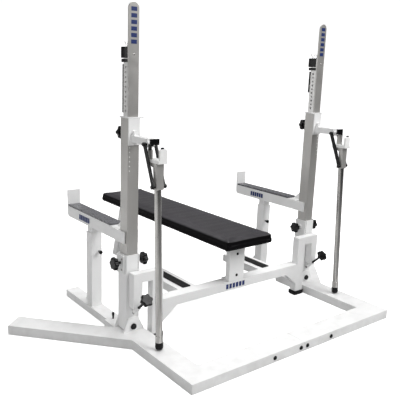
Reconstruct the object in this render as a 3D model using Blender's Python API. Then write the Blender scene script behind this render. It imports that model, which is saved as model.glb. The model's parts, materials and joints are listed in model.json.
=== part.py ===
"""Powerlifting competition rack with bench: tilting-foot uprights, lever lifts, safety arms and a bolted bench.

Units are metres, +Z is up, +X runs across the rack and +Y runs along the bench from its head end to its foot end.
Pieces are written in rack coordinates, whose Y = 0 is the plane of the two uprights; place() then moves them by
RACK_Y so that the world origin is the middle of the footprint.
"""

import math

import bmesh
import bpy
from mathutils import Matrix, Vector

GAP = 0.0003
OVER = 0.010
BITE = 0.002
BOLT_R = 0.005
RIB_T = 0.006

# Floor frame
RAIL_W = 0.110
RAIL_H = 0.045
RAIL_WALL = 0.0032
BASE_HALF_X = 0.628
BASE_FRONT = -0.5555
RAIL_REAR = 0.136
WING_TIP = (1.022, 0.318)
WING_ANGLE = math.radians(47.9)
WING_W = 0.105
SPLICE_HALF = 0.24
SPLICE_WALL = 0.005
SPLICE_SHANK_END = -0.515
DOME = ((0, 0.010), (0.3, 0.0095), (0.75, 0.007), (1, 0.0035))
DOME_H = 0.006
PIVOT_PLATE_TOP = 0.110
PIVOT_PLATE_HALF = 0.026
PIVOT_PLATE_Y = (-0.0430, 0.0370)
PIVOT_PLATE_T = 0.0065
SPLICE_BOLTS = (-0.184, -0.021, 0.021, 0.184)

# Cross frame that joins the two uprights
CROSS_FRONT = -0.084
CROSS_DEPTH = 0.060
CROSS_TOP = 0.183
CROSS_H = 0.046
PORTAL_DEPTH = 0.040
LEG_IN = 0.447
LEG_OUT = 0.503
PORTAL_OUT = 0.601
PORTAL_TOP = 0.331
BEAM_H = 0.043
POST_IN = 0.556
POST_BOTTOM = 0.170
STEP_IN = 0.212
STEP_OUT = 0.318
STEP_REAR = 0.270
TREAD_W = 0.046
TREAD_H = 0.005
LEG_BOTTOM = 0.004
LEG_FOOT_H = 0.026
LEG_FOOT_MARGIN = 0.005
WEB_IN = 0.365
WEB_BOTTOM = 0.070
STEP_BEAM_H = 0.040
STEP_LEG_HALF = 0.020
STEP_LEG_Y = (0.05, 0.01)

# Uprights
UPRIGHT_X = 0.577
SLEEVE_X = 0.066
SLEEVE_Y = 0.072
SLEEVE_BOTTOM = 0.050
SLEEVE_TOP = 0.405
SLEEVE_BORE_BOTTOM = 0.100
PIVOT_Z = 0.0685
PIVOT_D = 0.016
PIVOT_HEAD = ((0, 0.0135), (0.5, 0.0145), (1, 0.012))
PIVOT_HEADS = ((-0.0434, -0.0524), (0.0439, 0.0520))
TUBE_X = 0.055
TUBE_Y = 0.060
TUBE_WALL = 0.004
TUBE_BOTTOM = 0.1003
TUBE_TOP = 1.0022
COLUMN_X = 0.042
COLUMN_FRONT = -0.0182
COLUMN_REAR = 0.0205
COLUMN_BOTTOM = 0.450
COLUMN_TOP = 1.288
COLUMN_WALL = 0.003
COLUMN_HOLES = 10
COLUMN_HOLE_LOW = 1.030
COLUMN_HOLE_PITCH = 0.020
COLUMN_HOLE_Y = 0.003
INDEX_HOLES = 8
INDEX_HOLE_TOP = 0.920
INDEX_HOLE_PITCH = 0.020
INDEX_HOLE_X = 0.0185
GUARD_X = 0.050
GUARD_T = 0.008
GUARD_TOP = 1.466
CAP_X = 0.060
CAP_FRONT = -0.038
CAP_REAR = 0.034
CAP_T = 0.005
CAP_TAB = 0.045
CLAMP_Z = 0.367
CLAMP_BOSS_R = 0.013
CLAMP_PLATE_X = 0.010
CLAMP_PLATE_Y = (-0.022, 0.034)
CLAMP_PLATE_Z = (0.318, 0.402)
HEIGHT_KNOB_Z = 0.935

# Knobs and pull pins
PIN_R = 0.004
SAFETY_PIN_KNOB = (0.016, 0.009, 0.018)
RAIL_PIN_KNOB = (0.012, 0.006, 0.022)
PULL_KNOB = ((0, 0.7), (0.2, 0.85), (0.5, 1.0), (0.85, 1.0), (1.0, 0.7))
STAR_R = 0.030
STAR_VALLEY = 0.024
STAR_LOBES = 6
STAR_T = 0.020
SCREW_R = 0.006
TILT_BOSS = (0.55, 0.90)
TILT_BOSS_R = 0.0105
TILT_KNOB = (0.002, -0.140, 0.223)
TILT_WAY = (0.732, -0.681)
TILT_REACH = 0.1345
HUB = ((0, 0.0095), (1, 0.016))
HUB_L = 0.012
OUTER_KNOB_REACH = 0.036
INNER_KNOB_REACH = 0.040
HEIGHT_KNOB_Y = 0.054

# Lift levers
CARRIAGE_X = 0.0546
CARRIAGE_FRONT = -0.0365
CARRIAGE_BOTTOM = 0.890
ARM_X = 0.034
ARM_BOTTOM = 0.903
ARM_TOP = 0.932
ARM_PIVOT = (-0.158, 0.910)
ARM_LUG_R = 0.013
LINK_PIVOT = (-0.226, 0.747)
LINK_BOLT_R = 0.005
LINK_X = 0.026
LINK_T = 0.006
LINK_W = 0.018
HEAD_X = 0.036
HEAD_FRONT = -0.2345
HEAD_TOP = 0.841
LEVER_R = 0.0145
LEVER_TOP = (-0.2205, 0.7375)
LEVER_END = (-0.253, 0.080)
LEVER_FOOT_Z = 0.048
LEVER_FOOT = ((0, 0.0165), (0.7, 0.0175), (1, 0.0150))
FERRULE_T = 0.002
BUTTON = ((0, 0.009), (0.6, 0.009), (1, 0.007))
BUTTON_H = 0.007
BLOCK_HALF = 0.010
BLOCK_D = 0.015
BLOCK_H = 0.019
GUSSET_D = 0.030
SADDLE_IN = -0.0222
SADDLE_OUT = 0.019
SADDLE_FRONT = -0.250
SADDLE_REAR = -0.167
SADDLE_SEAT = 0.854
LIP_T = 0.010
LIP_TOP = 0.901
LIP_OUT = 0.012
LIP_CORNER = 0.012
CHEEK_IN = 0.012
CHEEK_T = 0.004
CHEEK_FRONT = -0.199
CHEEK_TOP = 0.906

# Safety arms
FOOT_TUBE_X = 0.070
FOOT_TUBE_BOTTOM = 0.0035
FOOT_TUBE_TOP = 0.0415
FOOT_TUBE_REAR = 0.588
SAFETY_Y = 0.332
SAFETY_POST = 0.055
SAFETY_POST_TOP = 0.422
SAFETY_SLIDE = 0.044
SAFETY_BORE_BOTTOM = 0.060
SAFETY_STEM_BOTTOM = 0.160
SAFETY_HOLES = 8
SAFETY_PIN_BOSS_R = 0.008
POST_RIB = (0.10, 0.135)
SKID_H = 0.008
SAFETY_PIN_Z = 0.326
SAFETY_HOLE_PITCH = 0.025
SAFETY_PIN_IN = 0.010
RAIL_PIN = (UPRIGHT_X + 0.010, 0.124)
RAIL_PIN_PITCH = 0.050
SAFETY_BOTTOM = 0.455
SAFETY_TOP = 0.508
SAFETY_W = 0.068
FORK_IN = 0.0288
FORK_T = 0.0077
FORK_FRONT = -0.016
FORK_REAR = 0.060
ARM_ROOT_Y = 0.044
ARM_TIP_CHAMFER = 0.012
STOP_T = 0.007
ARM_RIB = (0.050, 0.105, 0.042)
RUBBER_FRONT = 0.112
SAFETY_REAR = 0.556
RUBBER_T = 0.009
STOP_TOP = 0.590

# Bench
PAD_W = 0.305
PAD_L = 1.2395
PAD_TOP = 0.436
PAD_T = 0.044
PAD_FRONT = -0.1787
PAD_REAR = PAD_FRONT + PAD_L
BOARD_T = 0.012
BENCH_POST_X = 0.097
BENCH_POST_Y = 0.030
BENCH_LEG_FOOT = (1.045, 1.095)
BENCH_LEG_HEAD = (0.956, 0.989)
BENCH_SHOE_H = 0.007
SPINE_HALF = 0.030
SPINE_H = 0.045
BEARER_HALF = (0.12, 0.02)
BEARER_H = 0.006
BEARER_Y = (0.06, 0.50, 0.94)
BRACE_L = 0.12
BRACE_LOW = (0.265, 0.225)
BRACE_TOP = 0.345
BOARD_INSET = 0.008
PAD_EDGE = ((0.012, 0.0), (0.004, 0.003), (0.0, 0.012))
PAD_CORNER_R = 0.022

RACK_Y = -(BASE_FRONT + BENCH_LEG_FOOT[1]) / 2

COLOURS = {
    "white_powder_coat": ((0.83, 0.83, 0.83, 1), 0.0, 0.4),
    "grey_powder_coat": ((0.42, 0.42, 0.42, 1), 0.3, 0.4),
    "brushed_steel": ((0.6, 0.6, 0.6, 1), 1.0, 0.35),
    "chrome": ((0.75, 0.75, 0.75, 1), 1.0, 0.12),
    "black_steel": ((0.03, 0.03, 0.03, 1), 0.5, 0.4),
    "black_plastic": ((0.02, 0.02, 0.02, 1), 0.0, 0.45),
    "black_rubber": ((0.03, 0.03, 0.03, 1), 0.0, 0.8),
    "white_plastic": ((0.85, 0.85, 0.85, 1), 0.0, 0.4),
    "pad_vinyl": ((0.06, 0.055, 0.06, 1), 0.0, 0.5),
    "pad_board": ((0.05, 0.05, 0.05, 1), 0.0, 0.7),
}


def material(slot):
    """The material of a slot, made on first use."""
    found = bpy.data.materials.get(slot)
    if found:
        return found
    colour, metallic, roughness = COLOURS[slot]
    made = bpy.data.materials.new(slot)
    made.use_nodes = True
    shader = made.node_tree.nodes["Principled BSDF"]
    shader.inputs["Base Color"].default_value = colour
    shader.inputs["Metallic"].default_value = metallic
    shader.inputs["Roughness"].default_value = roughness
    made.diffuse_color = colour
    return made


# ---------------------------------------------------------------- solids

def loft(rings):
    """A closed solid through equal rings of points, capped at both ends."""
    bm = bmesh.new()
    loops = [[bm.verts.new(p) for p in ring] for ring in rings]
    count = len(rings[0])
    for a, b in zip(loops, loops[1:]):
        for i in range(count):
            j = (i + 1) % count
            bm.faces.new((a[i], a[j], b[j], b[i]))
    bm.faces.new(loops[0][::-1])
    bm.faces.new(loops[-1])
    bmesh.ops.recalc_face_normals(bm, faces=bm.faces)
    mesh = bpy.data.meshes.new("solid")
    bm.to_mesh(mesh)
    bm.free()
    return mesh


def box(x0, x1, y0, y1, z0, z1):
    x0, x1 = sorted((x0, x1))
    ring = [(x0, y0), (x1, y0), (x1, y1), (x0, y1)]
    return loft([[(x, y, z) for x, y in ring] for z in (z0, z1)])


def slab(points, axis, low, high):
    """A flat outline (the two other axes in order) pushed from low to high along axis."""
    rings = []
    for value in (low, high):
        ring = []
        for a, b in points:
            point = [a, b]
            point.insert("XYZ".index(axis), value)
            ring.append(tuple(point))
        rings.append(ring)
    return loft(rings)


def round_bar(start, end, radius, sides=24):
    """A cylinder between two points."""
    return turned(start, end, [(0.0, radius), (1.0, radius)], sides)


def turned(start, end, profile, sides=24):
    """A turned solid between two points; profile holds (share of the length, radius)."""
    start = Vector(start)
    along = Vector(end) - start
    spin = along.to_track_quat("Z", "Y").to_matrix()
    rings = []
    for share, radius in profile:
        ring = []
        for i in range(sides):
            turn = 2 * math.pi * (i + 0.5) / sides
            spoke = Vector((radius * math.cos(turn), radius * math.sin(turn), 0))
            ring.append(start + along * share + spin @ spoke)
        rings.append(ring)
    return loft(rings)


def star(start, end):
    """A lobed hand-knob head between two points."""
    start = Vector(start)
    along = Vector(end) - start
    spin = along.to_track_quat("Z", "Y").to_matrix()
    sides = STAR_LOBES * 8
    middle = (STAR_R + STAR_VALLEY) / 2
    swing = (STAR_R - STAR_VALLEY) / 2
    rings = []
    for share, scale in ((0.0, 0.86), (0.2, 1.0), (0.8, 1.0), (1.0, 0.86)):
        ring = []
        for i in range(sides):
            turn = 2 * math.pi * i / sides
            radius = scale * (middle + swing * math.cos(STAR_LOBES * turn))
            spoke = Vector((radius * math.cos(turn), radius * math.sin(turn), 0))
            ring.append(start + along * share + spin @ spoke)
        rings.append(ring)
    return loft(rings)


def combine(first, others, operation):
    """Joins meshes to, or cuts meshes from, the first one."""
    body = bpy.data.objects.new("body", first)
    bpy.context.scene.collection.objects.link(body)
    tools = []
    for mesh in others:
        tool = bpy.data.objects.new("tool", mesh)
        bpy.context.scene.collection.objects.link(tool)
        tools.append(tool)
        step = body.modifiers.new("step", "BOOLEAN")
        step.operation = operation
        step.solver = "EXACT"
        step.object = tool
    bpy.context.view_layer.update()
    result = bpy.data.meshes.new_from_object(body.evaluated_get(bpy.context.evaluated_depsgraph_get()))
    for spare in [body] + tools:
        bpy.data.objects.remove(spare)
    return result


def join(*meshes):
    return combine(meshes[0], meshes[1:], "UNION")


def cut(mesh, *tools):
    return combine(mesh, tools, "DIFFERENCE")


def tidy(mesh):
    """Welds the double points a boolean leaves behind."""
    bm = bmesh.new()
    bm.from_mesh(mesh)
    bmesh.ops.remove_doubles(bm, verts=bm.verts, dist=0.00001)
    bmesh.ops.recalc_face_normals(bm, faces=bm.faces)
    bm.to_mesh(mesh)
    bm.free()
    return mesh


def place(name, mesh, slot, origin=(0.0, 0.0, 0.0), smooth=False):
    """Names a solid, gives it its material and puts its origin at a rack point."""
    mesh = tidy(mesh)
    mesh.name = name
    mesh.transform(Matrix.Translation(-Vector(origin)))
    mesh.materials.clear()
    mesh.materials.append(material(slot))
    if smooth:
        mesh.shade_smooth()
        mesh.set_sharp_from_angle(angle=math.radians(35))
    made = bpy.data.objects.new(name, mesh)
    bpy.context.scene.collection.objects.link(made)
    made.location = Vector(origin) + Vector((0, RACK_Y, 0))
    return made


def named(name, side):
    return f"{name}_{'left' if side < 0 else 'right'}"


# ---------------------------------------------------------------- floor frame

def base_half(side):
    """Half of the front tube, one side rail, its outrigger and the plates that hold the upright's pivot."""
    inner = BASE_HALF_X - RAIL_W
    front = box(side * 0.0005, side * BASE_HALF_X, BASE_FRONT, BASE_FRONT + RAIL_W, 0, RAIL_H)
    rail = box(side * inner, side * BASE_HALF_X, BASE_FRONT, RAIL_REAR, 0, RAIL_H)
    along = (math.cos(WING_ANGLE), math.sin(WING_ANGLE))
    root_x = BASE_HALF_X - 0.02
    reach = (WING_TIP[0] - root_x) / along[0]
    back = (WING_TIP[0] - along[1] * WING_W, WING_TIP[1] + along[0] * WING_W)
    back_reach = (back[0] - root_x) / along[0]
    outline = [
        (side * root_x, WING_TIP[1] - reach * along[1]),
        (side * WING_TIP[0], WING_TIP[1]),
        (side * back[0], back[1]),
        (side * root_x, back[1] - back_reach * along[1]),
    ]
    wing = slab(outline, "Z", 0, RAIL_H)
    low, high = inner + 0.004, BASE_HALF_X - 0.003
    plate = [
        (side * low, RAIL_H - OVER),
        (side * high, RAIL_H - OVER),
        (side * high, RAIL_H + 0.004),
        (side * (UPRIGHT_X + PIVOT_PLATE_HALF), PIVOT_PLATE_TOP),
        (side * (UPRIGHT_X - PIVOT_PLATE_HALF), PIVOT_PLATE_TOP),
        (side * low, RAIL_H + 0.008),
    ]
    plates = [slab(plate, "Y", y, y + PIVOT_PLATE_T) for y in PIVOT_PLATE_Y]
    solid = join(front, rail, wing, *plates)
    splice = box(
        -side * OVER, side * (SPLICE_HALF + 0.001), BASE_FRONT + SPLICE_WALL,
        BASE_FRONT + RAIL_W - SPLICE_WALL, SPLICE_WALL, RAIL_H - SPLICE_WALL,
    )
    socket_x = FOOT_TUBE_X / 2 + GAP
    socket = box(
        side * (UPRIGHT_X - socket_x), side * (UPRIGHT_X + socket_x), 0.0, RAIL_REAR + OVER,
        RAIL_WALL, FOOT_TUBE_TOP + GAP,
    )
    x = side * UPRIGHT_X
    pivot = round_bar((x, -0.06, PIVOT_Z), (x, 0.06, PIVOT_Z), PIVOT_D / 2 + GAP)
    pin_x = side * RAIL_PIN[0]
    pin = round_bar((pin_x, RAIL_PIN[1], 0.03), (pin_x, RAIL_PIN[1], 0.2), PIN_R + GAP, 16)
    bolts = []
    for x in SPLICE_BOLTS:
        if x * side > 0:
            bolts.append(splice_hole(x))
    solid = cut(solid, splice, socket, pivot, pin, *bolts)
    place(named("base_half", side), solid, "white_powder_coat")


def splice_hole(x):
    """Cutter for one splice bolt."""
    z = RAIL_H / 2
    return round_bar((x, BASE_FRONT - OVER, z), (x, SPLICE_SHANK_END + 0.015, z), BOLT_R + GAP, 16)


def splice():
    """Inner sleeve that lines up and joins the two halves of the front tube, with its four domed bolts."""
    inset = SPLICE_WALL + GAP
    sleeve = box(
        -SPLICE_HALF, SPLICE_HALF, BASE_FRONT + inset, BASE_FRONT + RAIL_W - inset, inset, RAIL_H - inset
    )
    holes = [splice_hole(x) for x in SPLICE_BOLTS]
    place("splice_sleeve", cut(sleeve, *holes), "brushed_steel")
    z = RAIL_H / 2
    face = BASE_FRONT - GAP
    for number, x in enumerate(SPLICE_BOLTS, 1):
        head = turned((x, face, z), (x, face - DOME_H, z), DOME, 20)
        shank = round_bar((x, face - 0.001, z), (x, SPLICE_SHANK_END, z), BOLT_R, 16)
        place(f"splice_bolt_{number}", join(head, shank), "black_steel", (x, BASE_FRONT, z), True)


def foot_tube_end(side):
    """Telescoping floor tube and post that carry one safety arm."""
    x = side * UPRIGHT_X
    half = FOOT_TUBE_X / 2
    tube = box(x - half, x + half, 0.006, FOOT_TUBE_REAR, FOOT_TUBE_BOTTOM, FOOT_TUBE_TOP)
    post_half = SAFETY_POST / 2
    post = box(
        x - post_half, x + post_half, SAFETY_Y - post_half, SAFETY_Y + post_half, FOOT_TUBE_TOP - 0.01, SAFETY_POST_TOP
    )
    low = FOOT_TUBE_TOP - OVER
    rib_back = [(SAFETY_Y, low), (SAFETY_Y + POST_RIB[0], low), (SAFETY_Y, POST_RIB[1])]
    rib = slab(rib_back, "X", x - RIB_T / 2, x + RIB_T / 2)
    pin_x = side * (UPRIGHT_X - SAFETY_PIN_IN)
    face = SAFETY_Y - post_half
    z = SAFETY_PIN_Z
    boss = round_bar((pin_x, face + BITE, z), (pin_x, face - BITE, z), SAFETY_PIN_BOSS_R, 20)
    skid = box(x - half + 0.004, x + half - 0.004, FOOT_TUBE_REAR - 0.05, FOOT_TUBE_REAR - 0.004, 0, SKID_H)
    solid = join(tube, post, rib, boss, skid)
    slot = SAFETY_SLIDE / 2 + GAP
    bore = box(x - slot, x + slot, SAFETY_Y - slot, SAFETY_Y + slot, SAFETY_BORE_BOTTOM,
               SAFETY_POST_TOP + OVER)
    pin = round_bar((pin_x, SAFETY_Y, SAFETY_PIN_Z), (pin_x, SAFETY_Y - 0.06, SAFETY_PIN_Z), PIN_R + GAP, 16)
    lock_x = side * RAIL_PIN[0]
    locks = [
        round_bar((lock_x, y, 0.020), (lock_x, y, 0.2), PIN_R + 2 * GAP, 16)
        for y in (RAIL_PIN[1], RAIL_PIN[1] - RAIL_PIN_PITCH)
    ]
    solid = cut(solid, bore, pin, *locks)
    place(named("safety_post", side), solid, "white_powder_coat")


def safety_arm(side):
    """Safety arm with its sliding stem, fork round the upright and end stop."""
    x = side * UPRIGHT_X
    half = SAFETY_W / 2
    outline = [
        (ARM_ROOT_Y, SAFETY_BOTTOM), (SAFETY_REAR - ARM_TIP_CHAMFER, SAFETY_BOTTOM),
        (SAFETY_REAR, SAFETY_BOTTOM + ARM_TIP_CHAMFER), (SAFETY_REAR, SAFETY_TOP), (ARM_ROOT_Y, SAFETY_TOP),
    ]
    arm = slab(outline, "X", x - half, x + half)
    stem_half = SAFETY_SLIDE / 2
    stem = box(x - stem_half, x + stem_half, SAFETY_Y - stem_half, SAFETY_Y + stem_half, SAFETY_STEM_BOTTOM,
               SAFETY_BOTTOM + OVER)
    cheeks = []
    for way in (-1, 1):
        near = x + way * FORK_IN
        cheeks.append(box(near, near + way * FORK_T, FORK_FRONT, FORK_REAR, SAFETY_BOTTOM, SAFETY_TOP))
    stop = box(x - half, x + half, SAFETY_REAR - STOP_T, SAFETY_REAR, SAFETY_TOP - OVER, STOP_TOP)
    near, far, tall = ARM_RIB
    outline = [(near, SAFETY_TOP - 0.005), (far, SAFETY_TOP - 0.005), (near, SAFETY_TOP + tall)]
    rib = slab(outline, "X", x - RIB_T / 2, x + RIB_T / 2)
    solid = join(arm, stem, *cheeks, stop, rib)
    pin_x = side * (UPRIGHT_X - SAFETY_PIN_IN)
    holes = []
    for i in range(SAFETY_HOLES):
        z = SAFETY_PIN_Z + SAFETY_HOLE_PITCH * (1 - i)
        holes.append(round_bar((pin_x, SAFETY_Y - 0.03, z), (pin_x, SAFETY_Y - 0.012, z), PIN_R + 2 * GAP, 12))
    place(named("safety_arm", side), cut(solid, *holes), "white_powder_coat", (x, SAFETY_Y, SAFETY_BOTTOM))
    rubber = box(x - half + BITE, x + half - BITE, RUBBER_FRONT, SAFETY_REAR - STOP_T - 0.001, SAFETY_TOP + GAP,
                 SAFETY_TOP + RUBBER_T)
    place(named("safety_rubber", side), rubber, "black_rubber")


def pull_pin(name, side, tip, direction, reach, knob_r, knob_length):
    """A spring pin with a round pull knob; its tip is at rest just clear of the sliding piece."""
    tip = Vector(tip)
    direction = Vector(direction)
    pin = round_bar(tip, tip + direction * (reach + 0.004), PIN_R, 16)
    start = tip + direction * reach
    profile = [(share, knob_r * part) for share, part in PULL_KNOB]
    knob = turned(start, start + direction * knob_length, profile, 20)
    place(named(name, side), join(pin, knob), "black_plastic", tip, True)


# ---------------------------------------------------------------- cross frame

def cross_frame():
    """Cross tube, the two portals that brace the uprights and the two rubber-topped steps."""
    back = CROSS_FRONT + CROSS_DEPTH
    portal_back = CROSS_FRONT + PORTAL_DEPTH
    parts = [box(-LEG_IN - 0.01, LEG_IN + 0.01, CROSS_FRONT, back, CROSS_TOP - CROSS_H, CROSS_TOP)]
    cuts = []
    for side in (-1, 1):
        low = CROSS_TOP - CROSS_H
        parts.append(box(side * LEG_IN, side * LEG_OUT, CROSS_FRONT, portal_back, LEG_BOTTOM, PORTAL_TOP))
        parts.append(box(side * LEG_IN, side * PORTAL_OUT, CROSS_FRONT, portal_back, PORTAL_TOP - BEAM_H, PORTAL_TOP))
        parts.append(box(side * POST_IN, side * PORTAL_OUT, CROSS_FRONT, portal_back, POST_BOTTOM, PORTAL_TOP - 0.01))
        web = [(side * (LEG_IN + OVER), low + OVER), (side * WEB_IN, low + OVER), (side * WEB_IN, low),
               (side * LEG_IN, WEB_BOTTOM), (side * (LEG_IN + OVER), WEB_BOTTOM)]
        parts.append(slab(web, "Y", CROSS_FRONT, portal_back))
        beam_bottom = CROSS_TOP - STEP_BEAM_H
        parts.append(box(side * STEP_IN, side * STEP_OUT, back - OVER, STEP_REAR, beam_bottom, CROSS_TOP))
        mid = (STEP_IN + STEP_OUT) / 2
        near, far = STEP_REAR - STEP_LEG_Y[0], STEP_REAR - STEP_LEG_Y[1]
        parts.append(box(side * (mid - STEP_LEG_HALF), side * (mid + STEP_LEG_HALF), near, far, 0.0,
                         CROSS_TOP - STEP_BEAM_H / 2))
        start, end = tilt_screw_line(side)
        parts.append(round_bar(start.lerp(end, TILT_BOSS[0]), start.lerp(end, TILT_BOSS[1]), TILT_BOSS_R, 20))
        cuts.append(round_bar(start, end, SCREW_R + GAP, 20))
    place("cross_frame", cut(join(*parts), *cuts), "white_powder_coat")
    for side in (-1, 1):
        foot(side, portal_back)
        mid = side * (STEP_IN + STEP_OUT) / 2
        tread = box(mid - TREAD_W / 2, mid + TREAD_W / 2, back + BITE, STEP_REAR - 0.006, CROSS_TOP + GAP,
                    CROSS_TOP + TREAD_H)
        place(named("step_tread", side), tread, "black_rubber")


def foot(side, portal_back):
    """Rubber shoe under a portal leg."""
    x0, x1 = sorted((side * (LEG_IN - LEG_FOOT_MARGIN), side * (LEG_OUT + LEG_FOOT_MARGIN)))
    y0, y1 = CROSS_FRONT - LEG_FOOT_MARGIN, portal_back + LEG_FOOT_MARGIN
    rings = []
    for z, inset in ((0.0, 0.006), (0.006, 0.0), (LEG_FOOT_H, 0.0)):
        rings.append([(x0 + inset, y0 + inset, z), (x1 - inset, y0 + inset, z),
                      (x1 - inset, y1 - inset, z), (x0 + inset, y1 - inset, z)])
    shoe = loft(rings)
    hole = box(side * (LEG_IN - GAP), side * (LEG_OUT + GAP), CROSS_FRONT - GAP, portal_back + GAP,
               LEG_BOTTOM - GAP, 0.1)
    place(named("leg_foot", side), cut(shoe, hole), "black_rubber")


# ---------------------------------------------------------------- uprights

def tilt_screw_line(side):
    """From the tilt knob's hub down and back to just short of the sleeve's front."""
    inward, y, z = TILT_KNOB
    start = Vector((side * (UPRIGHT_X - inward), y, z))
    return start, start + Vector((0, *TILT_WAY)) * TILT_REACH


def tilt_sleeve(side):
    """Lower sleeve that holds the upright, on its pivot bolt."""
    x = side * UPRIGHT_X
    body = box(x - SLEEVE_X / 2, x + SLEEVE_X / 2, -SLEEVE_Y / 2, SLEEVE_Y / 2, SLEEVE_BOTTOM, SLEEVE_TOP)
    inner = x - side * SLEEVE_X / 2
    outer = x + side * SLEEVE_X / 2
    far = inner - side * CLAMP_PLATE_X
    boss = round_bar((inner + side * BITE, 0, CLAMP_Z), (far, 0, CLAMP_Z), CLAMP_BOSS_R)
    plate = box(outer - side * BITE, outer + side * CLAMP_PLATE_X, *CLAMP_PLATE_Y, *CLAMP_PLATE_Z)
    hx = TUBE_X / 2 + GAP
    hy = TUBE_Y / 2 + GAP
    bore = box(x - hx, x + hx, -hy, hy, SLEEVE_BORE_BOTTOM, SLEEVE_TOP + OVER)
    pivot = round_bar((x, -0.06, PIVOT_Z), (x, 0.06, PIVOT_Z), PIVOT_D / 2 + GAP)
    screws = round_bar((x - 0.06, 0, CLAMP_Z), (x + 0.06, 0, CLAMP_Z), SCREW_R + GAP, 20)
    place(named("tilt_sleeve", side), cut(join(body, boss, plate), bore, pivot, screws), "white_powder_coat")
    near, far = PIVOT_HEADS
    front = turned((x, near[0], PIVOT_Z), (x, near[1], PIVOT_Z), PIVOT_HEAD)
    rear = turned((x, far[0], PIVOT_Z), (x, far[1], PIVOT_Z), PIVOT_HEAD)
    shank = round_bar((x, near[0] - 0.0016, PIVOT_Z), (x, far[0] + 0.0011, PIVOT_Z), PIVOT_D / 2)
    place(named("pivot_bolt", side), join(shank, front, rear), "black_steel", (x, 0, PIVOT_Z), True)


def star_knob(name, side, tip, head):
    """A star-headed clamp screw whose tip stops just short of the piece it clamps."""
    tip = Vector(tip)
    head = Vector(head)
    way = (head - tip).normalized()
    screw = round_bar(tip, head, SCREW_R, 20)
    hub = turned(head - way * HUB_L, head, HUB, 20)
    cap = star(head - way * 0.001, head + way * STAR_T)
    place(named(name, side), join(screw, hub, cap), "black_plastic", tip, True)


def upright(side):
    """Grey upright tube with the index holes of its front face."""
    x = side * UPRIGHT_X
    tube = box(x - TUBE_X / 2, x + TUBE_X / 2, -TUBE_Y / 2, TUBE_Y / 2, TUBE_BOTTOM, TUBE_TOP)
    hx = TUBE_X / 2 - TUBE_WALL
    hy = TUBE_Y / 2 - TUBE_WALL
    bore = box(x - hx, x + hx, -hy, hy, TUBE_BOTTOM - 0.01, TUBE_TOP - 0.008)
    mouth = column_hole(x, TUBE_TOP - 0.02, TUBE_TOP + 0.01)
    screw = round_bar((x, 0, HEIGHT_KNOB_Z), (x, 0.06, HEIGHT_KNOB_Z), SCREW_R + GAP, 20)
    holes = []
    edge = side * (UPRIGHT_X + INDEX_HOLE_X)
    for i in range(INDEX_HOLES):
        z = INDEX_HOLE_TOP - INDEX_HOLE_PITCH * i
        holes.append(round_bar((edge, -0.035, z), (edge, -0.020, z), 0.003, 10))
    place(named("upright_tube", side), cut(tube, bore, mouth, screw, *holes), "grey_powder_coat")


def column_hole(x, low, high):
    """Cutter for the opening that the column slides through."""
    half = COLUMN_X / 2 + GAP
    return box(x - half, x + half, COLUMN_FRONT - GAP, COLUMN_REAR + GAP, low, high)


def column(side):
    """Inner lifting column with its row of holes."""
    x = side * UPRIGHT_X
    hx = COLUMN_X / 2
    body = box(x - hx, x + hx, COLUMN_FRONT, COLUMN_REAR, COLUMN_BOTTOM, COLUMN_TOP)
    bore = box(x - hx + COLUMN_WALL, x + hx - COLUMN_WALL, COLUMN_FRONT + COLUMN_WALL, COLUMN_REAR - COLUMN_WALL,
               COLUMN_BOTTOM - 0.01, COLUMN_TOP - 0.004)
    holes = []
    for i in range(COLUMN_HOLES):
        z = COLUMN_HOLE_LOW + COLUMN_HOLE_PITCH * i
        holes.append(round_bar((x - 0.03, COLUMN_HOLE_Y, z), (x + 0.03, COLUMN_HOLE_Y, z), 0.0045, 12))
    place(named("inner_column", side), cut(cut(body, *holes), bore), "grey_powder_coat", (x, 0, COLUMN_BOTTOM))


def guard(side):
    """Tall guard plate that stands in front of the column, above the carriage."""
    x = side * UPRIGHT_X
    half = GUARD_X / 2
    back = COLUMN_FRONT - GAP
    bottom = TUBE_TOP + CAP_T + 2 * GAP
    outline = [(x - half, bottom), (x + half, bottom)]
    for i in range(13):
        turn = math.pi * i / 12
        outline.append((x + half * math.cos(turn), GUARD_TOP - half + half * math.sin(turn)))
    plate = slab(outline, "Y", back - GUARD_T, back)
    place(named("guard_plate", side), plate, "grey_powder_coat", (x, back, bottom))


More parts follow.
